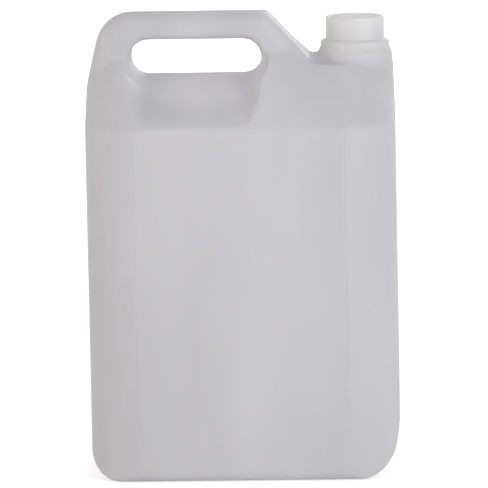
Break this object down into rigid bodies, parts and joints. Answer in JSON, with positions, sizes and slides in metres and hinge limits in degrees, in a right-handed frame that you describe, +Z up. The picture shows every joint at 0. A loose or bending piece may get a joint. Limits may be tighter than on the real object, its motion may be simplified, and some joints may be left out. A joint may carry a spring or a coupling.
{
  "type": "plastic jerry can",
  "caption": "Slim blow-moulded jerry can of milky plastic with a hollow top handle, sloping shoulders and an open neck at one end, for oil and other liquids.",
  "frame": {"origin": "middle of the underside, on the surface the can stands on", "axes": "+Z up, +X to the right along the width towards the neck end, -Y the front face"},
  "size_m": [0.19, 0.124, 0.285],
  "materials": {
    "natural_plastic": "natural milky polyethylene, satin, slightly see-through"
  },
  "bodies": {
    "root": {"bottle": "natural_plastic"}
  },
  "joints": []
}
